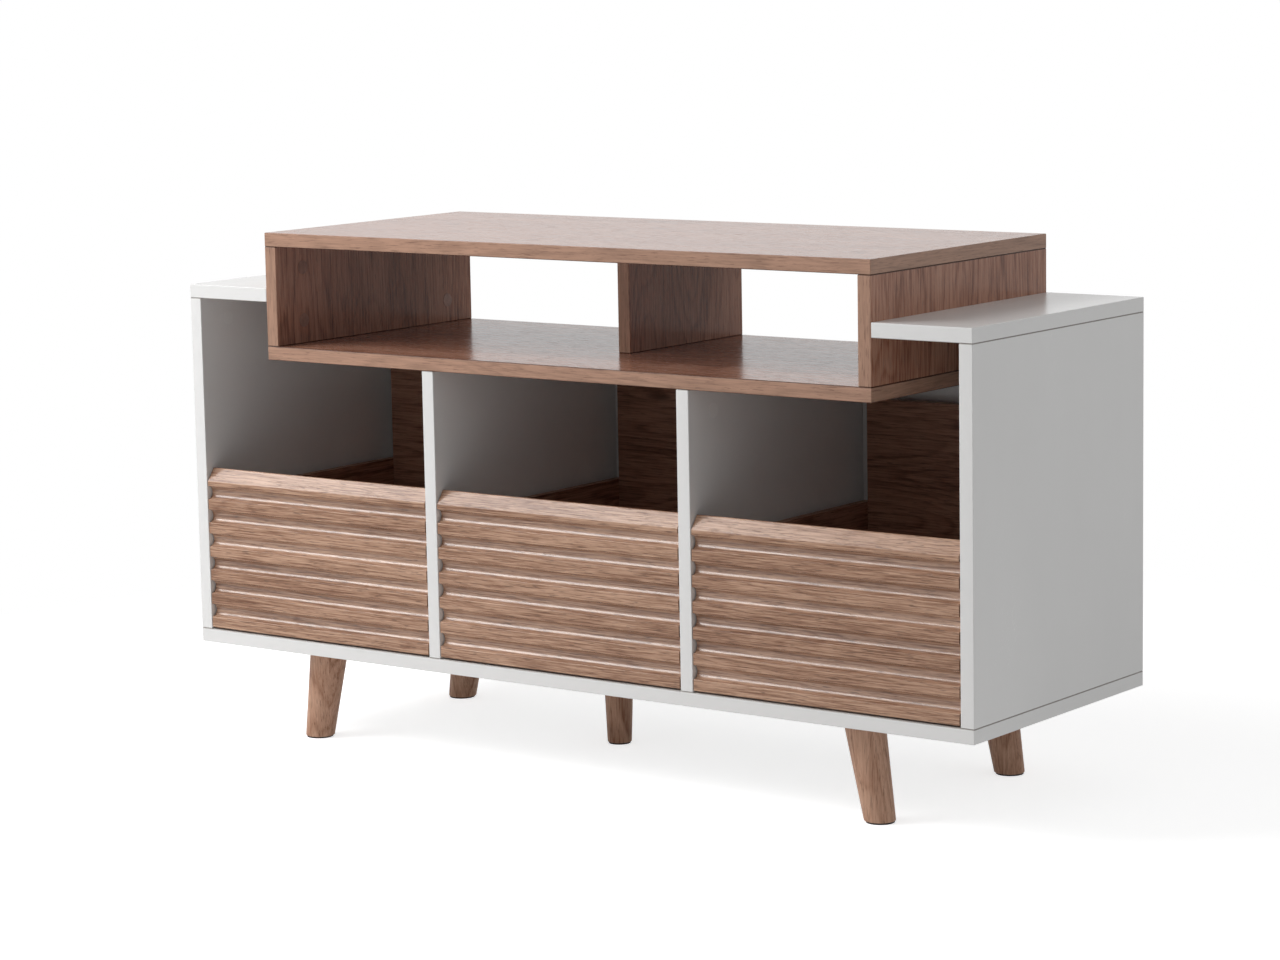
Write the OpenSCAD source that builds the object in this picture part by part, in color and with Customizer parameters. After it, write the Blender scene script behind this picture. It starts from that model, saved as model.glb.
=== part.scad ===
// Media cabinet: a pale board carcass on turned legs, with a walnut bridge box set into its top
// and three ribbed record drawers on telescopic slides.

/* [Cabinet] */
// Width over the side panels
cabinet_w = 1200; // [1180:5:1260]
// Depth from front edge to back
cabinet_d = 395; // [390:5:430]
// Height of the side panels
side_h = 441; // [436:1:470]
// Thickness of every carcass and bridge board
board_t = 18; // [17:1:19]

/* [Bridge box] */
// Length of each white wing top beside the bridge
wing_l = 135; // [120:5:150]
// Underside of the bridge above the bottom panel
bridge_z = 366; // [360:1:370]
// Clear height inside the bridge
bridge_clear_h = 129; // [110:1:150]
// Setback of the middle upright from the front
upright_setback = 150; // [120:5:170]

/* [Drawers] */
// Thickness of a ribbed drawer front
front_t = 15; // [14:1:18]
// Height of a drawer front
front_h = 212.5; // [212:0.5:220]
// Gap under a drawer front
front_gap_z = 2.5; // [2:0.5:4]
// Gap at each end of a drawer front
front_gap_x = 1.5; // [1:0.5:3]
// Number of long grooves in a front
groove_n = 6; // [4:1:6]
// Spacing of the grooves
groove_pitch = 31.6; // [30:0.2:31.6]
// Radius of each groove
groove_r = 8.7; // [8:0.1:9.5]
// Thickness of the drawer sides and backs
drawer_t = 12; // [10:1:13]
// Height of the drawer sides
drawer_side_h = 177; // [170:1:180]
// Height of the tall drawer backs
drawer_back_h = 309; // [290:1:315]
// How far a drawer opens
travel = 340; // [250:10:340]

/* [Legs] */
// Height of the carcass above the floor
leg_h = 120; // [110:5:150]
// Diameter of a corner leg at its top
leg_top_d = 49.5; // [44:0.5:54]
// Diameter of a corner leg at the floor
leg_foot_d = 37.5; // [32:0.5:42]
// Outward lean of a corner leg
leg_lean = 10; // [6:1:12]
// Diameter of the support leg at its top
support_top_d = 41; // [36:0.5:46]
// Diameter of the support leg at the floor
support_foot_d = 31.5; // [28:0.5:36]

/* [Hidden] */
$fn = 48;
eps = 0.01;

// Colours
pale = [0.86, 0.86, 0.85];
walnut = [0.55, 0.40, 0.32];
oak = [0.74, 0.60, 0.50];
drawer_wood = [0.45, 0.33, 0.27];
leg_wood = [0.52, 0.37, 0.28];
steel = [0.72, 0.73, 0.75];
zinc = [0.62, 0.62, 0.64];
beech = [0.80, 0.66, 0.47];
felt = [0.12, 0.11, 0.11];

// Carcass levels and faces
half_w = cabinet_w / 2;
half_d = cabinet_d / 2;
base_z = leg_h;
floor_z = base_z + board_t;
wing_z = floor_z + side_h;
bridge_low = floor_z + bridge_z;
shelf_z = bridge_low + board_t;
bridge_high = shelf_z + bridge_clear_h;
bridge_half = half_w - wing_l;
bay_w = (cabinet_w - 4 * board_t) / 3;
divider_x = bay_w / 2 + board_t / 2;
side_x = half_w - board_t / 2;
bridge_side_x = bridge_half - board_t / 2;
back_y = half_d - board_t;
upright_y = -half_d + upright_setback;

// Board joints: a cam lock pulls on a bolt in the next board, and dowels place it
cam_r = 7.5;
cam_depth = 12.5;
cam_from_face = 30;
cam_slot_w = 7.4;
cam_lid_t = 4;
cap_r = 9;
cap_t = 0.4;
bolt_thread_r = 2.5;
bolt_thread_l = 12;
bolt_shank_r = 3;
bolt_bore_r = 3.5;
bolt_head_r = 3.6;
bolt_head_h = 4;
dowel_r = 4;
dowel_in_face = 12;
dowel_in_edge = 18;
cam_y = 146;
dowel_y = 110;

// One row per joint: upright's centre x, face z, +1 if the upright is above the face,
// +1 or -1 for the side its cams are let into, bolt places along y, dowel places along y
full_cams = [-cam_y, cam_y];
full_dowels = [-dowel_y, dowel_y];
short_cams = [upright_y + 50, cam_y];
short_dowels = [upright_y + 90, dowel_y];
PALE_JOINTS = [
    [-side_x, floor_z, 1, 1, full_cams, full_dowels],
    [-divider_x, floor_z, 1, -1, full_cams, full_dowels],
    [divider_x, floor_z, 1, 1, full_cams, full_dowels],
    [side_x, floor_z, 1, -1, full_cams, full_dowels],
    [-side_x, wing_z, -1, 1, full_cams, full_dowels],
    [side_x, wing_z, -1, -1, full_cams, full_dowels],
    [-divider_x, bridge_low, -1, -1, full_cams, full_dowels],
    [divider_x, bridge_low, -1, 1, full_cams, full_dowels]
];
WALNUT_JOINTS = [
    [-bridge_side_x, shelf_z, 1, 1, full_cams, full_dowels],
    [bridge_side_x, shelf_z, 1, -1, full_cams, full_dowels],
    [-bridge_side_x, bridge_high, -1, 1, full_cams, full_dowels],
    [bridge_side_x, bridge_high, -1, -1, full_cams, full_dowels],
    [0, shelf_z, 1, -1, short_cams, short_dowels],
    [0, bridge_high, -1, -1, short_cams, short_dowels]
];
JOINTS = concat(PALE_JOINTS, WALNUT_JOINTS);

// Dowels along x: from a wing top into the bridge side, and from the uprights into the back boards.
// Those on the two faces of a divider stand at different heights, so that they don't meet.
wing_dowel_y = [-150, 0, 150];
wing_dowel_z = wing_z + board_t / 2;
back_dowel_y = back_y + board_t / 2;
back_dowel_z = [60, 300];
back_dowel_step = 24;
wing_back_dowel_z = (bridge_low + wing_z) / 2;

// One row per dowel along x: face x, +1 or -1 for the way the face looks, y, z
X_DOWELS = [
    for (s = [-1, 1]) for (y = wing_dowel_y) [s * bridge_half, s, y, wing_dowel_z],
    for (s = [-1, 1]) [s * bridge_half, s, back_dowel_y, wing_back_dowel_z],
    for (s = [-1, 1]) [s * (half_w - board_t), -s, back_dowel_y, wing_back_dowel_z],
    for (s = [-1, 1]) for (z = back_dowel_z) [s * (half_w - board_t), -s, back_dowel_y, floor_z + z],
    for (s = [-1, 1]) for (f = [-1, 1]) for (z = back_dowel_z)
        [s * divider_x + f * board_t / 2, f, back_dowel_y, floor_z + z + (f * s + 1) / 2 * back_dowel_step]
];

// Drawers
bay_x = [-(bay_w + board_t), 0, bay_w + board_t];
front_y = -half_d;
front_low = floor_z + front_gap_z;
front_half = bay_w / 2 - front_gap_x;
bevel_h = 17;
bevel_d = 12;
groove_first = 22.7;
groove_out = 0.5;
slide_gap = 12.5;
drawer_out = bay_w / 2 - slide_gap;
drawer_in = drawer_out - drawer_t;
drawer_y0 = front_y + front_t;
drawer_l = 346;
drawer_y1 = drawer_y0 + drawer_l;
drawer_low = floor_z + 10;
bottom_t = 9;
bottom_z = drawer_low + 3;
bottom_groove = 5;
drawer_dowel_r = 3;
drawer_dowel_in_face = 9;
drawer_dowel_in_edge = 20;
back_joint_z = [25, 90, 155];

// Telescopic slides: profiles are set out from the upright's face towards the drawer
rail_t = 1.2;
rail_l = 344;
rail_y0 = drawer_y0 + 2;
rail_z = drawer_low + 68;
outer_h = 45;
outer_reach = 9;
middle_h = 38;
middle_d = 2.4;
middle_reach = 8;
inner_h = 30;
inner_reach = 6.2;
rail_hole_r = 2.2;
rail_screw_r = 1.8;
rail_screw_l = 13;
rail_screw_head_r = 3.2;
rail_screw_head_h = 0.8;
rail_screw_y = [37, 165, 293];
drawer_rail_screw_l = 10;
drawer_rail_screw_y = [60, 285];

// Legs
plate_t = 2.5;
plate_w = 70;
plate_hole = 26;
plate_hole_r = 2.5;
plate_screw_r = 2;
plate_screw_l = 14;
plate_screw_head_r = 4;
plate_screw_head_h = 2;
nut_r = 7.5;
nut_h = 8;
nut_pocket_r = 11;
nut_pocket_h = 10;
leg_bolt_r = 4;
leg_bolt_up = 8;
leg_bolt_down = 30;
glide_t = 2;
glide_in = 1.5;
leg_inset_x = 181;
leg_inset_y = 49.5;
support_x = -78;
support_y = 30;
leg_z1 = base_z - plate_t;
leg_blank_over = 0.2;
leg_room = 100;

// One row per leg: x and y of its axis at the carcass, lean towards +x, top and foot diameters
LEGS = [
    [-half_w + leg_inset_x, -half_d + leg_inset_y, -leg_lean, leg_top_d, leg_foot_d],
    [half_w - leg_inset_x, -half_d + leg_inset_y, leg_lean, leg_top_d, leg_foot_d],
    [-half_w + leg_inset_x, half_d - leg_inset_y, -leg_lean, leg_top_d, leg_foot_d],
    [half_w - leg_inset_x, half_d - leg_inset_y, leg_lean, leg_top_d, leg_foot_d],
    [support_x, support_y, 0, support_top_d, support_foot_d]
];

function within(v, lo, hi) = v > lo - 1 && v < hi + 1;

// A box between two corners
module block(lo, hi) {
    translate(lo) cube([hi.x - lo.x, hi.y - lo.y, hi.z - lo.z]);
}

// A cylinder along x from x0 to x1
module rod_x(x0, x1, y, z, r) {
    translate([min(x0, x1), y, z]) rotate([0, 90, 0]) cylinder(h = abs(x1 - x0), r = r);
}

// A cylinder along y from y0 to y1
module rod_y(x, y0, y1, z, r) {
    translate([x, min(y0, y1), z]) rotate([-90, 0, 0]) cylinder(h = abs(y1 - y0), r = r);
}

// A cylinder along z from z0 to z1
module rod_z(x, y, z0, z1, r) {
    translate([x, y, min(z0, z1)]) cylinder(h = abs(z1 - z0), r = r);
}

// Everything that is bored for one joint row
module joint_bores(j) {
    cam_z = j[1] + j[2] * cam_from_face;
    for (y = j[4]) {
        rod_x(j[0] + j[3] * board_t / 2, j[0] + j[3] * (board_t / 2 - cam_depth), y, cam_z, cam_r);
        rod_z(j[0], y, j[1], cam_z, bolt_bore_r);
        rod_z(j[0], y, j[1] - j[2] * bolt_thread_l, j[1], bolt_thread_r);
    }
    for (y = j[5]) {
        rod_z(j[0], y, j[1] - j[2] * dowel_in_face, j[1] + j[2] * dowel_in_edge, dowel_r);
    }
}

// A dowel along x, and its two bores
module x_dowel(d) {
    rod_x(d[0] - d[1] * dowel_in_face, d[0] + d[1] * dowel_in_edge, d[2], d[3], dowel_r);
}

// A board, bored for each joint and each dowel that meets it
module board(lo, hi) {
    difference() {
        block(lo, hi);
        for (j = JOINTS) {
            if (within(j[0], lo.x, hi.x) && within(j[1], lo.z, hi.z)) joint_bores(j);
        }
        for (d = X_DOWELS) {
            if (within(d[0], lo.x, hi.x) && within(d[2], lo.y, hi.y) && within(d[3], lo.z, hi.z)) x_dowel(d);
        }
    }
}

module bottom_panel() {
    color(pale) difference() {
        board([-half_w, -half_d, base_z], [half_w, half_d, floor_z]);
        for (leg = LEGS) {
            translate([leg[0], leg[1], base_z - eps]) cylinder(h = nut_pocket_h + eps, r = nut_pocket_r);
            for (x = [-1, 1]) {
                for (y = [-1, 1]) {
                    rod_z(leg[0] + x * plate_hole, leg[1] + y * plate_hole,
                        base_z - eps, base_z + plate_screw_l - plate_t, plate_screw_r);
                }
            }
        }
    }
}

// Holes for the slide screws on one face of an upright; s is the way the face looks
module rail_screw_holes(x, s) {
    for (y = rail_screw_y) {
        rod_x(x, x - s * (rail_screw_l - rail_t), rail_y0 + y, rail_z, rail_screw_r);
    }
}

module side_panel(s) {
    color(pale) difference() {
        board([s * side_x - board_t / 2, -half_d, floor_z], [s * side_x + board_t / 2, half_d, wing_z]);
        rail_screw_holes(s * (half_w - board_t), -s);
    }
}

// A divider takes slide screws on both faces
module divider(s) {
    color(pale) difference() {
        board([s * divider_x - board_t / 2, -half_d, floor_z],
            [s * divider_x + board_t / 2, half_d, bridge_low]);
        for (f = [-1, 1]) {
            rail_screw_holes(s * divider_x + f * board_t / 2, f);
        }
    }
}

module wing_top(s) {
    lo = s < 0 ? -half_w : bridge_half;
    color(pale) board([lo, -half_d, wing_z], [lo + wing_l, half_d, wing_z + board_t]);
}

module back_panel(i) {
    x = bay_x[i];
    color(pale) board([x - bay_w / 2, back_y, floor_z], [x + bay_w / 2, half_d, bridge_low]);
}

// The short board behind a wing top, beside the bridge
module wing_back(s) {
    x0 = min(s * bridge_half, s * (half_w - board_t));
    color(pale) board([x0, back_y, bridge_low], [x0 + wing_l - board_t, half_d, wing_z]);
}

module bridge_top() {
    color(walnut) board([-bridge_half, -half_d, bridge_high], [bridge_half, half_d, bridge_high + board_t]);
}

module bridge_bottom() {
    color(walnut) board([-bridge_half, -half_d, bridge_low], [bridge_half, half_d, shelf_z]);
}

module bridge_side(s) {
    color(walnut) board([s * bridge_side_x - board_t / 2, -half_d, shelf_z],
        [s * bridge_side_x + board_t / 2, half_d, bridge_high]);
}

module bridge_upright() {
    color(walnut) board([-board_t / 2, upright_y, shelf_z], [board_t / 2, half_d, bridge_high]);
}

// A leg's own axis: along -z from the middle of its plate
module leg_axis(leg) {
    translate([leg[0], leg[1], base_z]) rotate([0, -leg[2], 0]) children();
}

// A tapered leg, sawn level at both ends and bored for its bolt
module leg(leg) {
    run = base_z / cos(leg[2]);
    over = leg_blank_over * run;
    grow = leg_blank_over * (leg[3] - leg[4]) / 2;
    color(leg_wood) difference() {
        intersection() {
            leg_axis(leg) translate([0, 0, -run - over])
                cylinder(h = run + 2 * over, r1 = leg[4] / 2 - grow, r2 = leg[3] / 2 + grow);
            block([leg[0] - leg_room, leg[1] - leg_room, glide_t],
                [leg[0] + leg_room, leg[1] + leg_room, leg_z1]);
        }
        leg_axis(leg) translate([0, 0, -leg_bolt_down]) cylinder(h = 2 * leg_bolt_down, r = leg_bolt_r);
    }
}

module leg_plates() {
    color(zinc) for (leg = LEGS) {
        difference() {
            union() {
                block([leg[0] - plate_w / 2, leg[1] - plate_w / 2, leg_z1],
                    [leg[0] + plate_w / 2, leg[1] + plate_w / 2, base_z]);
                leg_axis(leg) translate([0, 0, -plate_t / 2])
                    cylinder(h = nut_h + plate_t / 2, r = nut_r, $fn = 6);
            }
            leg_axis(leg) translate([0, 0, -plate_w]) cylinder(h = 2 * plate_w, r = leg_bolt_r);
            for (x = [-1, 1]) {
                for (y = [-1, 1]) {
                    rod_z(leg[0] + x * plate_hole, leg[1] + y * plate_hole,
                        leg_z1 - eps, base_z + eps, plate_hole_r);
                }
            }
        }
    }
}

module leg_plate_screws() {
    color(zinc) for (leg = LEGS) {
        for (x = [-1, 1]) {
            for (y = [-1, 1]) {
                px = leg[0] + x * plate_hole;
                py = leg[1] + y * plate_hole;
                rod_z(px, py, leg_z1, leg_z1 + plate_screw_l, plate_screw_r);
                rod_z(px, py, leg_z1 - plate_screw_head_h, leg_z1, plate_screw_head_r);
            }
        }
    }
}

module leg_bolts() {
    color(zinc) for (leg = LEGS) {
        leg_axis(leg) translate([0, 0, -leg_bolt_down])
            cylinder(h = leg_bolt_down + leg_bolt_up, r = leg_bolt_r);
    }
}

// Felt pads under the feet
module foot_glides() {
    color(felt) for (leg = LEGS) {
        rod_z(leg[0] + base_z * tan(leg[2]), leg[1], 0, glide_t, leg[4] / 2 - glide_in);
    }
}

// A cam disc with a slot that takes the bolt's head
module cam_locks() {
    color(zinc) for (j = JOINTS) {
        cam_z = j[1] + j[2] * cam_from_face;
        face = j[0] + j[3] * board_t / 2;
        deep = face - j[3] * cam_depth;
        lid = face - j[3] * cam_lid_t;
        open = deep - j[3] * eps;
        for (y = j[4]) {
            difference() {
                rod_x(face, deep, y, cam_z, cam_r);
                block([min(lid, open), y - cam_slot_w / 2, cam_z - cam_r - eps],
                    [max(lid, open), y + cam_slot_w / 2, cam_z + cam_r + eps]);
            }
        }
    }
}

module cam_bolts() {
    color(steel) for (j = JOINTS) {
        for (y = j[4]) {
            cam_z = j[1] + j[2] * cam_from_face;
            rod_z(j[0], y, j[1] - j[2] * bolt_thread_l, j[1], bolt_thread_r);
            rod_z(j[0], y, j[1], cam_z, bolt_shank_r);
            rod_z(j[0], y, cam_z - bolt_head_h / 2, cam_z + bolt_head_h / 2, bolt_head_r);
        }
    }
}

module dowels() {
    color(beech) {
        for (j = JOINTS) {
            for (y = j[5]) {
                rod_z(j[0], y, j[1] - j[2] * dowel_in_face, j[1] + j[2] * dowel_in_edge, dowel_r);
            }
        }
        for (d = X_DOWELS) x_dowel(d);
    }
}

// Round stick-on caps over the cams
module cam_caps(joints) {
    for (j = joints) {
        face = j[0] + j[3] * board_t / 2;
        for (y = j[4]) {
            rod_x(face, face + j[3] * cap_t, y, j[1] + j[2] * cam_from_face, cap_r);
        }
    }
}

// A channel lying along y: its web stands at x0, and its lips reach to x1
module channel(x0, x1, h) {
    s = x1 > x0 ? 1 : -1;
    y1 = rail_y0 + rail_l;
    web = x0 + s * rail_t;
    block([min(x0, web), rail_y0, rail_z - h / 2], [max(x0, web), y1, rail_z + h / 2]);
    for (z = [rail_z - h / 2, rail_z + h / 2 - rail_t]) {
        block([min(x0, x1), rail_y0, z], [max(x0, x1), y1, z + rail_t]);
    }
}

// Runs its children at both sides of a bay: $s points from the upright's face to the drawer
module at_both_faces(x) {
    for (s = [-1, 1]) {
        $s = s;
        $face = x - s * bay_w / 2;
        children();
    }
}

module cabinet_rails() {
    color(steel) for (x = bay_x) {
        at_both_faces(x) difference() {
            channel($face, $face + $s * outer_reach, outer_h);
            for (y = rail_screw_y) {
                rod_x($face - eps, $face + $s * (rail_t + eps), rail_y0 + y, rail_z, rail_hole_r);
            }
        }
    }
}

module cabinet_rail_screws() {
    color(zinc) for (x = bay_x) {
        at_both_faces(x) for (y = rail_screw_y) {
            rod_x($face + $s * rail_t, $face + $s * (rail_t - rail_screw_l),
                rail_y0 + y, rail_z, rail_screw_r);
            rod_x($face + $s * rail_t, $face + $s * (rail_t + rail_screw_head_h),
                rail_y0 + y, rail_z, rail_screw_head_r);
        }
    }
}

module middle_rails(i) {
    color(steel) at_both_faces(bay_x[i]) {
        channel($face + $s * middle_d, $face + $s * (middle_d + middle_reach), middle_h);
    }
}

// The drawer's own slide member, its web flat on the drawer side
module drawer_rails(i) {
    color(steel) at_both_faces(bay_x[i]) difference() {
        channel($face + $s * slide_gap, $face + $s * (slide_gap - inner_reach), inner_h);
        for (y = drawer_rail_screw_y) {
            rod_x($face + $s * (slide_gap - rail_t - eps), $face + $s * (slide_gap + eps),
                rail_y0 + y, rail_z, rail_hole_r);
        }
    }
}

// Shanks of the screws that hold a drawer's rails
module drawer_rail_shanks(i) {
    at_both_faces(bay_x[i]) for (y = drawer_rail_screw_y) {
        rod_x($face + $s * (slide_gap - rail_t), $face + $s * (slide_gap - rail_t + drawer_rail_screw_l),
            rail_y0 + y, rail_z, rail_screw_r);
    }
}

module drawer_rail_screws(i) {
    color(zinc) {
        drawer_rail_shanks(i);
        at_both_faces(bay_x[i]) for (y = drawer_rail_screw_y) {
            rod_x($face + $s * (slide_gap - rail_t), $face + $s * (slide_gap - rail_t - rail_screw_head_h),
                rail_y0 + y, rail_z, rail_screw_head_r);
        }
    }
}

// The ribbed profile: y inwards from the front face, z up from the lower edge
module front_profile() {
    difference() {
        polygon([
            [0, 0], [front_t, 0], [front_t, front_h], [bevel_d, front_h], [0, front_h - bevel_h]
        ]);
        for (k = [0 : groove_n - 1]) {
            translate([-groove_out, groove_first + k * groove_pitch]) circle(r = groove_r);
        }
    }
}

module drawer_front(i) {
    color(oak) difference() {
        translate([bay_x[i] - front_half, front_y, front_low])
            rotate([90, 0, 90]) linear_extrude(2 * front_half) front_profile();
        drawer_dowel_rods(i);
    }
}

// A drawer side, grooved for the bottom and bored for its dowels and rail screws
module drawer_side(i, s) {
    x = bay_x[i];
    color(drawer_wood) difference() {
        block([x + min(s * drawer_in, s * drawer_out), drawer_y0, drawer_low],
            [x + max(s * drawer_in, s * drawer_out), drawer_y1, drawer_low + drawer_side_h]);
        drawer_bottom_block(i);
        drawer_dowel_rods(i);
        drawer_rail_shanks(i);
    }
}

module drawer_bottom_block(i) {
    reach = drawer_in + bottom_groove;
    block([bay_x[i] - reach, drawer_y0, bottom_z],
        [bay_x[i] + reach, drawer_y1 - drawer_t, bottom_z + bottom_t]);
}

module drawer_back(i) {
    x = bay_x[i];
    color(drawer_wood) difference() {
        block([x - drawer_in, drawer_y1 - drawer_t, drawer_low],
            [x + drawer_in, drawer_y1, drawer_low + drawer_back_h]);
        drawer_dowel_rods(i);
    }
}

module drawer_bottom(i) {
    color(drawer_wood) drawer_bottom_block(i);
}

// Dowels from each side into the tall back, and from the front's ribs into each side's end
module drawer_dowel_rods(i) {
    x = bay_x[i];
    for (s = [-1, 1]) {
        for (z = back_joint_z) {
            rod_x(x + s * (drawer_in - drawer_dowel_in_edge), x + s * (drawer_in + drawer_dowel_in_face),
                drawer_y1 - drawer_t / 2, drawer_low + z, drawer_dowel_r);
        }
        for (k = [0 : 2 : groove_n - 1]) {
            rod_y(x + s * (drawer_in + drawer_t / 2), drawer_y0 - drawer_dowel_in_face,
                drawer_y0 + drawer_dowel_in_edge, front_low + groove_first + (k + 0.5) * groove_pitch,
                drawer_dowel_r);
        }
    }
}

module drawer_dowels(i) {
    color(beech) drawer_dowel_rods(i);
}

bottom_panel();
side_panel(-1);  // left_side_panel
side_panel(1);  // right_side_panel
divider(-1);  // left_divider
divider(1);  // right_divider
wing_top(-1);  // left_wing_top
wing_top(1);  // right_wing_top
back_panel(0);  // left_back_panel
back_panel(1);  // centre_back_panel
back_panel(2);  // right_back_panel
wing_back(-1);  // left_wing_back
wing_back(1);  // right_wing_back
bridge_top();
bridge_bottom();
bridge_side(-1);  // bridge_left_side
bridge_side(1);  // bridge_right_side
bridge_upright();
leg(LEGS[0]);  // front_left_leg
leg(LEGS[1]);  // front_right_leg
leg(LEGS[2]);  // rear_left_leg
leg(LEGS[3]);  // rear_right_leg
leg(LEGS[4]);  // support_leg
leg_plates();
leg_plate_screws();
leg_bolts();
foot_glides();
cam_locks();
cam_bolts();
dowels();
color(pale) cam_caps(PALE_JOINTS);  // pale_cam_caps
color(walnut) cam_caps(WALNUT_JOINTS);  // walnut_cam_caps
cabinet_rails();
cabinet_rail_screws();
middle_rails(0);  // left_middle_rails
middle_rails(1);  // centre_middle_rails
middle_rails(2);  // right_middle_rails
drawer_front(0);  // left_drawer_front
drawer_side(0, -1);  // left_drawer_left_side
drawer_side(0, 1);  // left_drawer_right_side
drawer_back(0);  // left_drawer_back
drawer_bottom(0);  // left_drawer_bottom
drawer_dowels(0);  // left_drawer_dowels
drawer_rails(0);  // left_drawer_rails
drawer_rail_screws(0);  // left_drawer_rail_screws
drawer_front(1);  // centre_drawer_front
drawer_side(1, -1);  // centre_drawer_left_side
drawer_side(1, 1);  // centre_drawer_right_side
drawer_back(1);  // centre_drawer_back
drawer_bottom(1);  // centre_drawer_bottom
drawer_dowels(1);  // centre_drawer_dowels
drawer_rails(1);  // centre_drawer_rails
drawer_rail_screws(1);  // centre_drawer_rail_screws
drawer_front(2);  // right_drawer_front
drawer_side(2, -1);  // right_drawer_left_side
drawer_side(2, 1);  // right_drawer_right_side
drawer_back(2);  // right_drawer_back
drawer_bottom(2);  // right_drawer_bottom
drawer_dowels(2);  // right_drawer_dowels
drawer_rails(2);  // right_drawer_rails
drawer_rail_screws(2);  // right_drawer_rail_screws
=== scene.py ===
import math
import random

import bmesh
import bpy
from mathutils import Matrix, Vector


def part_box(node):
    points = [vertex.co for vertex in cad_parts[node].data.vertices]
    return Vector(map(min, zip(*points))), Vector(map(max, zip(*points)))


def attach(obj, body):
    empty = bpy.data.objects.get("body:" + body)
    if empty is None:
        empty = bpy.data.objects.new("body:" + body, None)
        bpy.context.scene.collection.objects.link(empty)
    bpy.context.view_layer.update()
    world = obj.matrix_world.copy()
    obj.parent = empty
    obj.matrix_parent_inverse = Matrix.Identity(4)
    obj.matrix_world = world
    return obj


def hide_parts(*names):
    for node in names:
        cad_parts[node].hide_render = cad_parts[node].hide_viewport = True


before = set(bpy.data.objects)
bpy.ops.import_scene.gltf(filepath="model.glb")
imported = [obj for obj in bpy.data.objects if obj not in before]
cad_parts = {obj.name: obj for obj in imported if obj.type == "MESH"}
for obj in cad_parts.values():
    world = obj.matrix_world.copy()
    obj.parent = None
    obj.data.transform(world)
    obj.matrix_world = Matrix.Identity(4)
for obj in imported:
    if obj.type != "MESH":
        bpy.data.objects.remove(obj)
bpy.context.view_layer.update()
chance = random.Random(12)


# Bottom board: 18 mm pale melamine on particle board, its edges banded to match.
# Every upright stands on it, held by cam locks and dowels, and the legs screw to it from below.
class Wire:
    """One output of a shader node, worked with as if it were a number."""

    def __init__(self, tree, socket=None):
        self.tree = tree
        self.socket = socket

    def node(self, kind, settings=None, sockets=None, output=0):
        made = self.tree.nodes.new("ShaderNode" + kind)
        for name, value in (settings or {}).items():
            if name == "stops":
                points = made.color_ramp.elements
                while len(points) < len(value):
                    points.new(0.5)
                for point, (where, tone) in zip(points, value):
                    point.position = where
                    point.color = (*tone, 1) if isinstance(tone, tuple) else (tone, tone, tone, 1)
            else:
                setattr(made, name, value)
        for name, value in (sockets or {}).items():
            if isinstance(value, Wire):
                self.tree.links.new(value.socket, made.inputs[name])
            else:
                made.inputs[name].default_value = value
        return Wire(self.tree, made.outputs[output])

    def maths(self, operation, *others):
        return self.node("Math", {"operation": operation}, dict(enumerate((self, *others))))

    def __add__(self, other):
        return self.maths("ADD", other)

    __radd__ = __add__

    def __sub__(self, other):
        return self.maths("SUBTRACT", other)

    def __rsub__(self, other):
        return self * -1.0 + other

    def __mul__(self, other):
        return self.maths("MULTIPLY", other)

    __rmul__ = __mul__

    def stretched(self, along, across):
        """A place along and across the grain, scaled apart, for a pattern to be read at."""
        return self.node("VectorMath", {"operation": "MULTIPLY"}, {0: self, 1: (along, across, across)})

    def cloud(self, along, across, detail=2.0, rough=0.5):
        """Soft spots, so many to the metre along and across the grain."""
        return self.node("TexNoise", None, {"Vector": self.stretched(along, across), "Scale": 1.0,
                                            "Detail": detail, "Roughness": rough})

    def ramp(self, *stops):
        return self.node("ValToRGB", {"stops": stops}, {"Fac": self})

    def tinted(self, other, share):
        """This colour moved towards another by a share, which may itself be a wire."""
        return self.node("Mix", {"data_type": "RGBA"}, {0: share, 6: self, 7: other}, 2)

    def dress(self, **sockets):
        """Sets or links the sockets of the finish's own shader."""
        shader = self.tree.nodes["Principled BSDF"]
        for name, value in sockets.items():
            socket = shader.inputs[name.replace("_", " ")]
            if isinstance(value, Wire):
                self.tree.links.new(value.socket, socket)
            else:
                socket.default_value = value


def new_finish(name):
    finish = bpy.data.materials.new(name)
    finish.use_nodes = True
    return finish, Wire(finish.node_tree)


def scaled(colour, by):
    return tuple(c * by for c in colour)


def stored(start, name):
    """A vector kept at every corner of a mesh."""
    return start.node("Attribute", {"attribute_name": name}, output="Vector")


PALE = (0.775, 0.770, 0.762)
# Dark grey painted on the eased edges where boards meet: painted shade, not a colour of the boards.
PALE_JOINT_SHADE = (0.300, 0.275, 0.250)
BOARD_EASE = 0.0009
SLANTED = (0.1, 0.99)
# Levels where boards meet. The eased edges at these levels are tinted dark as a painted shade line.
JOINT_LEVELS = [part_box(node)[end].z for node, end in (
    ("bottom_panel", 1), ("bridge_bottom", 0), ("bridge_bottom", 1),
    ("left_wing_top", 0), ("bridge_top", 0))]

melamine, start = new_finish("pale_melamine")
grain = stored(start, "grain")
parts = start.node("SeparateXYZ", None, {0: stored(start, "edging")})
joint_shade = Wire(start.tree, parts.socket.node.outputs[1])
mottle = grain.cloud(4, 9, 3.0)
emboss = grain.cloud(130, 1500, 2.0, 0.6)
tone = mottle.ramp((0.3, scaled(PALE, 0.985)), (0.7, scaled(PALE, 1.012)))
start.dress(
    # The eased edges where boards meet are tinted dark grey: painted shade in the crease between them.
    Base_Color=tone.tinted((*PALE_JOINT_SHADE, 1), joint_shade * 0.85),
    Roughness=mottle * 0.06 + emboss * 0.08 + 0.18,
    Normal=start.node("Bump", None, {"Strength": 0.10, "Distance": 0.0004, "Height": emboss}),
)


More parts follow.
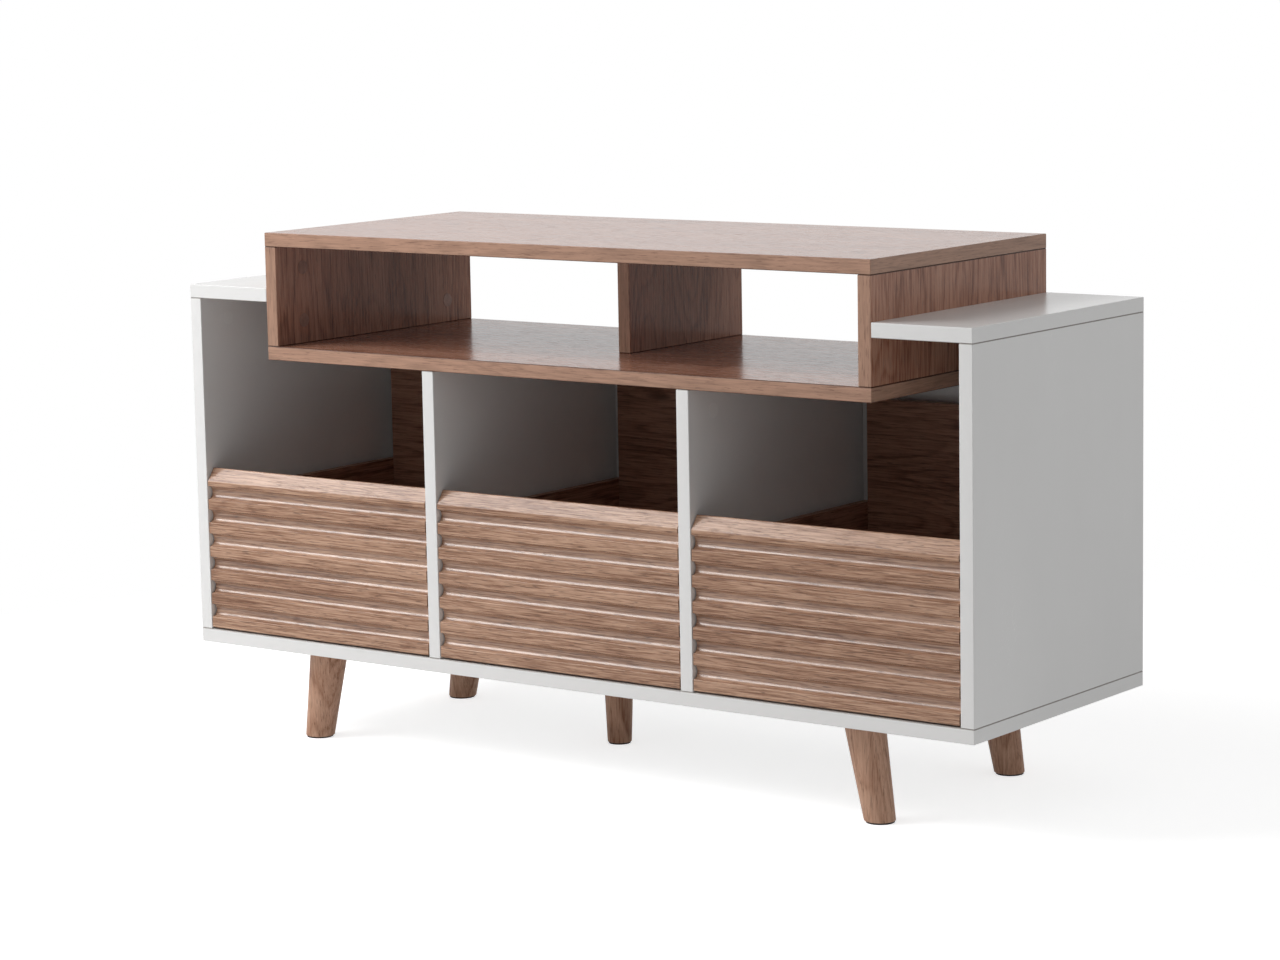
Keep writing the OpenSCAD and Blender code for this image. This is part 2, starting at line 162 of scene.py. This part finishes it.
def eased_board(node, along, ease=BOARD_EASE):
    """A board the size of its CAD node, with its edges eased. Each corner stores where it lies
    along, across and through the grain, and whether its face is edge banding, is an eased edge at the
    level of a meeting board, where shade is painted, or lies in a hollow, which no board has."""
    low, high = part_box(node)
    size = high - low
    shape = bmesh.new()
    bmesh.ops.create_cube(shape, size=1)
    for point in shape.verts:
        point.co = [low[i] + (point.co[i] + 0.5) * size[i] for i in range(3)]
    bmesh.ops.bevel(shape, geom=shape.edges[:], offset=ease, segments=2, profile=0.5, affect="EDGES")
    grain = shape.loops.layers.float_vector.new("grain")
    edging = shape.loops.layers.float_vector.new("edging")
    thin = min(range(3), key=lambda i: size[i])
    shift = Vector([chance.uniform(-20, 20) for _ in range(3)])
    for face in shape.faces:
        out = max(range(3), key=lambda i: abs(face.normal[i]))
        banded = out != thin
        run = max((i for i in range(3) if i != out), key=lambda i: size[i]) if banded else along
        level = face.calc_center_median().z
        slanted = SLANTED[0] < abs(face.normal.z) < SLANTED[1]
        shade_at_joint = slanted and any(abs(level - z) < 2 * ease for z in JOINT_LEVELS)
        for corner in face.loops:
            at = corner.vert.co
            corner[grain] = Vector((at[run], at[3 - out - run], at[out])) + shift * (1 + banded)
            corner[edging] = (float(banded), float(shade_at_joint), 0.0)
    return shape


def stand_in(shape, name, body, finish, slot, *nodes):
    """Makes a shape a piece: it rides on a body and shows in place of its CAD nodes."""
    for face in shape.faces:
        face.smooth = True
    mesh = bpy.data.meshes.new(name)
    shape.to_mesh(mesh)
    shape.free()
    mesh.materials.append(finish)
    piece = bpy.data.objects.new(name, mesh)
    bpy.context.scene.collection.objects.link(piece)
    piece.modifiers.new("level_faces", "WEIGHTED_NORMAL").keep_sharp = True
    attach(piece, body)
    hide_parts(*nodes)


X, Y, Z = 0, 1, 2
stand_in(eased_board("bottom_panel", X), "bottom_board", "carcass",
         melamine, "pale_board", "bottom_panel")


# Side boards and dividers: the same pale melamine, standing on the bottom board.
# The dividers stop under the bridge and the sides carry the wing tops.
for node in ("left_side_panel", "right_side_panel", "left_divider", "right_divider"):
    stand_in(eased_board(node, Z), node.replace("_panel", "") + "_board", "carcass",
             melamine, "pale_board", node)


# Wing tops: short pale boards over the outer ends, dowelled to the bridge's sides.
for node in ("left_wing_top", "right_wing_top"):
    stand_in(eased_board(node, Y), node + "_board", "carcass", melamine, "pale_board", node)


# Back boards: one pale board behind each bay, and a short one behind each wing,
# dowelled between the uprights and flush with their rear edges.
for node in ("left_back_panel", "centre_back_panel", "right_back_panel",
             "left_wing_back", "right_wing_back"):
    stand_in(eased_board(node, Z), node.replace("_panel", "") + "_board", "carcass",
             melamine, "pale_board", node)


# Bridge: an open walnut-faced box set between the wing tops, with an upright in the middle.
# Its 18 mm boards carry a wood-effect laminate, with a lighter banding on every edge.
def wood(name, dark, middle, light, edge, dull, contrast=1.0, knots=0.0, pore=0.42,
         gloss=1.27, figure=0.34, polish=0.0, fineness=400.0):
    """Wood as a finish: growth lines, fibre streaks, pores and a few knots, all along the grain, and
    painted shade on the eased edges where boards meet.
    The polish is a clear coat that lies only where a mesh says that it is hollow."""
    finish, start = new_finish(name)
    grain = stored(start, "grain")
    parts = start.node("SeparateXYZ", None, {0: stored(start, "edging")})
    banded = Wire(start.tree, parts.socket.node.outputs[0])
    joint_shade = Wire(start.tree, parts.socket.node.outputs[1])
    hollow = Wire(start.tree, parts.socket.node.outputs[2])
    spots = start.node("TexVoronoi", {"feature": "F1"},
                       {"Vector": grain.stretched(5.0, 19.0), "Scale": 1.0, "Randomness": 1.0})
    spot_tone = start.node("SeparateColor", None, {0: Wire(start.tree, spots.socket.node.outputs["Color"])})
    rare = spot_tone.ramp((0.70, 0.0), (0.74, 1.0))
    knot = spots.ramp((0.0, 1.0), (0.06, 0.8), (0.13, 0.0)) * rare * knots
    swell = spots.ramp((0.0, 1.0), (0.34, 0.0)) * rare * knots
    field = grain.cloud(1.3, 9.0, 2.0, 0.45) + swell * 0.07
    rings = (field * 24.0 + grain.cloud(9.0, 70.0, 2.0) * 0.9).maths("FRACT")
    growth = rings.ramp((0.0, 0.62), (0.12, 1.0), (0.62, 0.72), (0.90, 0.12), (1.0, 0.62))
    fibre = grain.cloud(16.0, fineness, 3.0, 0.72)
    fine = grain.cloud(48.0, 620.0, 2.0, 0.6)
    pores = fine.ramp((0.58, 0.0), (0.66, 1.0))
    broad = grain.cloud(1.6, 16.0, 2.0)
    value = (fibre - 0.5) * (1.7 * contrast) + (growth - 0.55) * figure + (broad - 0.5) * 0.8 + 0.5
    colour = value.ramp((0.18, dark), (0.5, middle), (0.82, light))
    edge_colour = value.ramp((0.18, scaled(edge, 0.80)), (0.82, scaled(edge, 1.16)))
    colour = colour.tinted(edge_colour, banded)
    # The last tint darkens the eased edges where boards meet: painted shade in the crease between them.
    for deeper, share in ((0.42, pores * pore), (0.5, knot), (0.4, joint_shade * 0.85)):
        colour = colour.tinted((*scaled(dark, deeper), 1), share)
    relief = fibre * 0.6 - pores * 0.8
    start.dress(
        Base_Color=colour,
        Roughness=fibre * 0.12 + pores * 0.12 + dull,
        IOR=gloss,
        Coat_Weight=hollow * polish,
        Coat_Roughness=0.27,
        Normal=start.node("Bump", None, {"Strength": 0.22, "Distance": 0.0004, "Height": relief}),
    )
    return finish


walnut = wood("walnut_laminate", dark=(0.175, 0.070, 0.042), middle=(0.345, 0.158, 0.100),
              light=(0.450, 0.240, 0.165), edge=(0.400, 0.238, 0.168), dull=0.12, knots=0.25)
for node, along in (("bridge_bottom", X), ("bridge_left_side", Z), ("bridge_right_side", Z),
                    ("bridge_upright", Z), ("bridge_top", X)):
    stand_in(eased_board(node, along), node + "_board", "carcass", walnut, "walnut_board", node)


# Board fittings: zinc cam locks and steel cam bolts, beech dowels, and thin stick-on caps.
# Only the caps show; the rest sits inside the boards.
def metal(name, colour, rough):
    finish, start = new_finish(name)
    place = start.node("TexCoord", output="Object")
    cloud = start.node("TexNoise", None, {"Vector": place, "Scale": 160.0, "Detail": 4.0})
    brushed = place.cloud(900.0, 40.0)
    start.dress(
        Base_Color=cloud.ramp((0.3, scaled(colour, 0.86)), (0.7, colour)),
        Metallic=1.0,
        Roughness=cloud * 0.12 + brushed * 0.10 + rough,
    )
    return finish


def dress_cad(finish, *nodes):
    """Gives CAD nodes that show as they are a finish of their own."""
    for node in nodes:
        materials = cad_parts[node].data.materials
        materials.clear()
        materials.append(finish)


zinc = metal("zinc_plate", (0.60, 0.60, 0.61), 0.30)
steel = metal("bright_steel", (0.70, 0.71, 0.73), 0.22)
beech, start = new_finish("beech_dowel")
place = start.node("TexCoord", output="Object")
fibre = place.cloud(300, 900, 2.0)
start.dress(Base_Color=fibre.ramp((0.3, (0.50, 0.34, 0.19)), (0.7, (0.64, 0.46, 0.28))), Roughness=0.6)
cap_pale, start = new_finish("pale_cap")
speckle = start.node("TexCoord", output="Object").cloud(700, 700, 2.0)
start.dress(Base_Color=speckle.ramp((0.3, (0.735, 0.730, 0.718)), (0.7, (0.775, 0.77, 0.76))),
            Roughness=speckle * 0.1 + 0.4)
cap_walnut, start = new_finish("walnut_cap")
speckle = start.node("TexCoord", output="Object").cloud(500, 160, 3.0)
start.dress(Base_Color=speckle.ramp((0.3, (0.19, 0.09, 0.06)), (0.7, (0.33, 0.17, 0.12))),
            Roughness=speckle * 0.1 + 0.4)
dress_cad(zinc, "cam_locks")
dress_cad(steel, "cam_bolts")
dress_cad(beech, "dowels", "left_drawer_dowels", "centre_drawer_dowels", "right_drawer_dowels")
dress_cad(cap_pale, "pale_cam_caps")
dress_cad(cap_walnut, "walnut_cam_caps")


# Legs: turned solid wood, tapered to the foot, leaning out 10 degrees at the four corners.
# Each screws on a bolt in a square steel plate, and stands on a thin felt pad.
leg_wood = wood("leg_wood", dark=(0.235, 0.110, 0.064), middle=(0.420, 0.235, 0.155),
                light=(0.545, 0.335, 0.235), edge=(0.33, 0.18, 0.12), dull=0.42, contrast=0.75, knots=0.6)
LEG_TURNS = 72
LEG_LEVELS = 14
FOOT_EASE = 0.0009
TOP_EASE = 0.0006
SAME_LEVEL = 0.0001


def turned_leg(node):
    """Rings of points from the foot up, following the CAD leg's own lean and taper."""
    points = [v.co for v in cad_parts[node].data.vertices]
    foot_z = min(p.z for p in points)
    top_z = max(p.z for p in points)
    ends = []
    for z in (foot_z, top_z):
        rim = [p for p in points if abs(p.z - z) < SAME_LEVEL]
        xs, ys = [p.x for p in rim], [p.y for p in rim]
        ends.append((Vector(((min(xs) + max(xs)) / 2, (min(ys) + max(ys)) / 2, z)),
                     (max(xs) - min(xs)) / 2, (max(ys) - min(ys)) / 2))
    steps = [(0.0, -FOOT_EASE), (FOOT_EASE * 0.3, -FOOT_EASE * 0.3), (FOOT_EASE, 0.0)]
    height = top_z - foot_z
    steps += [(height * k / LEG_LEVELS, 0.0) for k in range(1, LEG_LEVELS)]
    steps += [(height - TOP_EASE, 0.0), (height, -TOP_EASE)]
    shape = bmesh.new()
    grain = shape.loops.layers.float_vector.new("grain")
    edging = shape.loops.layers.float_vector.new("edging")
    rings = []
    for up, shrink in steps:
        share = up / height
        middle = ends[0][0].lerp(ends[1][0], share)
        rx = ends[0][1] + (ends[1][1] - ends[0][1]) * share + shrink
        ry = ends[0][2] + (ends[1][2] - ends[0][2]) * share + shrink
        rings.append([shape.verts.new((middle.x + rx * math.cos(a), middle.y + ry * math.sin(a), middle.z))
                      for a in (2 * math.pi * t / LEG_TURNS for t in range(LEG_TURNS))])
    for below, above in zip(rings, rings[1:]):
        for t in range(LEG_TURNS):
            n = (t + 1) % LEG_TURNS
            shape.faces.new((below[t], below[n], above[n], above[t]))
    shape.faces.new(rings[0][::-1])
    shape.faces.new(rings[-1])
    shift = Vector([chance.uniform(-20, 20) for _ in range(3)])
    for face in shape.faces:
        for corner in face.loops:
            at = corner.vert.co
            corner[grain] = Vector((at.z, at.x - ends[0][0].x, at.y - ends[0][0].y)) + shift
            corner[edging] = (0.0, 0.0, 0.0)
    return shape


for node in ("front_left_leg", "front_right_leg", "rear_left_leg", "rear_right_leg", "support_leg"):
    stand_in(turned_leg(node), node + "_turned", "carcass", leg_wood, "leg_wood", node)
felt, start = new_finish("felt_pad")
fuzz = start.node("TexCoord", output="Object").cloud(2500, 2500, 4.0, 0.7)
start.dress(Base_Color=fuzz.ramp((0.3, (0.035, 0.03, 0.03)), (0.7, (0.075, 0.068, 0.066))), Roughness=0.95,
            Normal=start.node("Bump", None, {"Strength": 0.6, "Distance": 0.0006, "Height": fuzz}))
dress_cad(zinc, "leg_plates", "leg_plate_screws", "leg_bolts")
dress_cad(felt, "foot_glides")


# Telescopic slides: three nested steel channels at each side of every drawer.
# The outer one is screwed to an upright, the inner one to the drawer.
dress_cad(steel, "cabinet_rails", "left_middle_rails", "centre_middle_rails", "right_middle_rails",
          "left_drawer_rails", "centre_drawer_rails", "right_drawer_rails")
dress_cad(zinc, "cabinet_rail_screws", "left_drawer_rail_screws", "centre_drawer_rail_screws",
          "right_drawer_rail_screws")


# Drawer fronts: oak-look, milled with six round grooves and a sloped upper edge.
# Each is dowelled to its drawer's sides. The extra polish in the grooves is a guess, made for the
# light that runs along them.
oak = wood("oak_front", dark=(0.200, 0.096, 0.058), middle=(0.380, 0.218, 0.141),
           light=(0.540, 0.340, 0.235), edge=(0.42, 0.26, 0.18), dull=0.14, contrast=1.15, knots=1.0,
           pore=0.60, gloss=1.33, figure=0.16, polish=0.75, fineness=520.0)
GROOVES = 6
GROOVE_FIRST = 0.0227
GROOVE_STEP = 0.0316
GROOVE_R = 0.0087
GROOVE_OUT = 0.0005
GROOVE_TURNS = 18
SLOPE_H = 0.017
SLOPE_D = 0.012
RIB_EASE = 0.0009
LONG_EDGE = 0.1
RIB_ANGLE = 0.35
SAME_END = 0.000001
SHARP_END = 0.8
POLISH_FADE = 0.0025


def ribbed_front(node):
    """The front's outline drawn once, drawn out along the drawer, and its ribs eased."""
    low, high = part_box(node)
    outline = [(0.0, 0.0)]
    half = math.acos(GROOVE_OUT / GROOVE_R)
    for k in range(GROOVES):
        centre = GROOVE_FIRST + k * GROOVE_STEP
        for t in range(GROOVE_TURNS + 1):
            a = -half + 2 * half * t / GROOVE_TURNS
            outline.append((GROOVE_R * math.cos(a) - GROOVE_OUT, centre + GROOVE_R * math.sin(a)))
    depth, height = high.y - low.y, high.z - low.z
    outline += [(0.0, height - SLOPE_H), (SLOPE_D, height), (depth, height), (depth, 0.0)]
    shape = bmesh.new()
    ends = [[shape.verts.new((x, low.y + y, low.z + z)) for y, z in outline] for x in (low.x, high.x)]
    count = len(outline)
    for t in range(count):
        n = (t + 1) % count
        shape.faces.new((ends[0][t], ends[0][n], ends[1][n], ends[1][t]))
    shape.faces.new(ends[0][::-1])
    shape.faces.new(ends[1])
    bmesh.ops.recalc_face_normals(shape, faces=shape.faces[:])
    ribs = [e for e in shape.edges
            if abs(e.verts[0].co.x - e.verts[1].co.x) > LONG_EDGE and e.calc_face_angle(0) > RIB_ANGLE]
    bmesh.ops.bevel(shape, geom=ribs, offset=RIB_EASE, segments=3, profile=0.5, affect="EDGES")
    for edge in shape.edges:
        flat_end = abs(edge.verts[0].co.x - edge.verts[1].co.x) < SAME_END
        edge.smooth = not (flat_end and edge.calc_face_angle(0) > SHARP_END)
    grain = shape.loops.layers.float_vector.new("grain")
    edging = shape.loops.layers.float_vector.new("edging")
    shift = Vector([chance.uniform(-20, 20) for _ in range(3)])
    for face in shape.faces:
        for corner in face.loops:
            at = corner.vert.co
            corner[grain] = Vector((at.x, at.z, at.y)) + shift
            inward = (at.y - low.y - RIB_EASE) / POLISH_FADE
            hollow = 0.0 if at.z > high.z - SLOPE_H - RIB_EASE else min(1.0, max(0.0, inward))
            corner[edging] = (0.0, 0.0, hollow)
    return shape


for side in ("left", "centre", "right"):
    node = side + "_drawer_front"
    stand_in(ribbed_front(node), node + "_ribbed", side + "_drawer", oak, "oak_front", node)


# Drawer boxes: 12 mm walnut-faced sides and a tall back that stands up behind the records.
# The 9 mm bottom is let into the sides.
BOX_EASE = 0.0005
drawer_wood = wood("drawer_wood", dark=(0.135, 0.058, 0.036), middle=(0.270, 0.132, 0.086),
                   light=(0.380, 0.205, 0.140), edge=(0.33, 0.185, 0.125), dull=0.36, knots=0.8)
for side in ("left", "centre", "right"):
    for part, along in (("left_side", Y), ("right_side", Y), ("back", X), ("bottom", Y)):
        node = f"{side}_drawer_{part}"
        stand_in(eased_board(node, along, BOX_EASE), node + "_board", side + "_drawer",
                 drawer_wood, "drawer_wood", node)


# Studio: a pale floor that shows white and keeps a soft shadow, one large soft lamp high
# at the front left, two weak ones low at the front and at the right, and the viewpoint.
FRONT_W = 5.0
MAIN_W = 106.0
SIDE_W = 7.0
SKY = 0.35
FLOOR_GLOW = 0.66
FLOOR_SHADE = 0.75
FADE_FROM, FADE_TO = 0.75, 1.5


def seen(start):
    """1 where a surface is looked at, directly or in a reflection, and 0 where it only gives light."""
    path = start.node("LightPath")
    outputs = path.socket.node.outputs
    rays = [Wire(start.tree, outputs[n]) for n in ("Is Camera Ray", "Is Glossy Ray", "Is Transmission Ray")]
    return (rays[0] + rays[1] + rays[2]).maths("MINIMUM", 1.0)


world = bpy.data.worlds.new("studio")
bpy.context.scene.world = world
world.use_nodes = True
sky = Wire(world.node_tree)
background = world.node_tree.nodes["Background"]
background.inputs["Color"].default_value = (1, 1, 1, 1)
world.node_tree.links.new((seen(sky) * (1.0 - SKY) + SKY).socket, background.inputs["Strength"])

FLOOR_HALF = 40.0
bed = bmesh.new()
bmesh.ops.create_grid(bed, x_segments=1, y_segments=1, size=FLOOR_HALF)
bed_mesh = bpy.data.meshes.new("floor")
bed.to_mesh(bed_mesh)
bed.free()
floor = bpy.data.objects.new("floor", bed_mesh)
bpy.context.scene.collection.objects.link(floor)
paint, start = new_finish("floor_paint")
tree = start.tree
looked_at = seen(start)
bounce = start.node("BsdfDiffuse", None, {"Color": (0.85, 0.85, 0.85, 1)})
shade = start.node("BsdfDiffuse", None, {"Color": (FLOOR_SHADE, FLOOR_SHADE, FLOOR_SHADE, 1)})
glow = start.node("Emission", None, {"Color": (1, 1, 1, 1), "Strength": FLOOR_GLOW})
shown = start.node("AddShader", None, {0: shade, 1: glow})
white = start.node("Emission", None, {"Color": (1, 1, 1, 1), "Strength": 1.0})
place = start.node("TexCoord", output="Object")
away = place.node("VectorMath", {"operation": "LENGTH"}, {0: place}, "Value")
far = away.node("MapRange", {"interpolation_type": "SMOOTHSTEP"},
                {"Value": away, "From Min": FADE_FROM, "From Max": FADE_TO})
shown = start.node("MixShader", None, {0: far, 1: shown, 2: white})
surface = start.node("MixShader", None, {0: looked_at, 1: bounce, 2: shown})
tree.links.new(surface.socket, tree.nodes["Material Output"].inputs["Surface"])
bed_mesh.materials.append(paint)


def soft_lamp(name, watts, size, at, towards):
    lamp = bpy.data.lights.new(name, "AREA")
    lamp.shape = "RECTANGLE"
    lamp.size, lamp.size_y = size
    lamp.energy = watts
    stand = bpy.data.objects.new(name, lamp)
    stand.location = at
    stand.rotation_euler = (Vector(towards) - Vector(at)).to_track_quat("-Z", "Y").to_euler()
    bpy.context.scene.collection.objects.link(stand)


soft_lamp("front_softbox", FRONT_W, (2.0, 1.6), (-1.5, -3.6, 1.05), (0.0, 0.0, 0.3))
soft_lamp("main_softbox", MAIN_W, (2.4, 1.6), (-2.4, -1.75, 2.5), (-0.6, -0.3, 0.3))
soft_lamp("side_softbox", SIDE_W, (1.6, 1.6), (3.2, 0.6, 1.5), (0.4, 0.0, 0.4))

LENS = 101.38
VIEWPOINT = Vector((2.699537, -3.631339, 1.027786))
TURN, DIP, TILT = 0.641912, 0.147495, -0.018368
ahead = Vector((-math.sin(TURN) * math.cos(DIP), math.cos(TURN) * math.cos(DIP), -math.sin(DIP)))
level = Vector((math.cos(TURN), math.sin(TURN), 0.0))
upward = level.cross(ahead)
right = level * math.cos(TILT) + upward * math.sin(TILT)
top = upward * math.cos(TILT) - level * math.sin(TILT)
lens = bpy.data.cameras.new("viewpoint")
lens.lens = LENS
lens.sensor_width = 36.0
lens.clip_end = 200.0
camera = bpy.data.objects.new("viewpoint", lens)
camera.matrix_world = Matrix.Translation(VIEWPOINT) @ Matrix((right, top, -ahead)).transposed().to_4x4()
bpy.context.scene.collection.objects.link(camera)
bpy.context.scene.camera = camera
bpy.context.scene.view_settings.view_transform = "Standard"
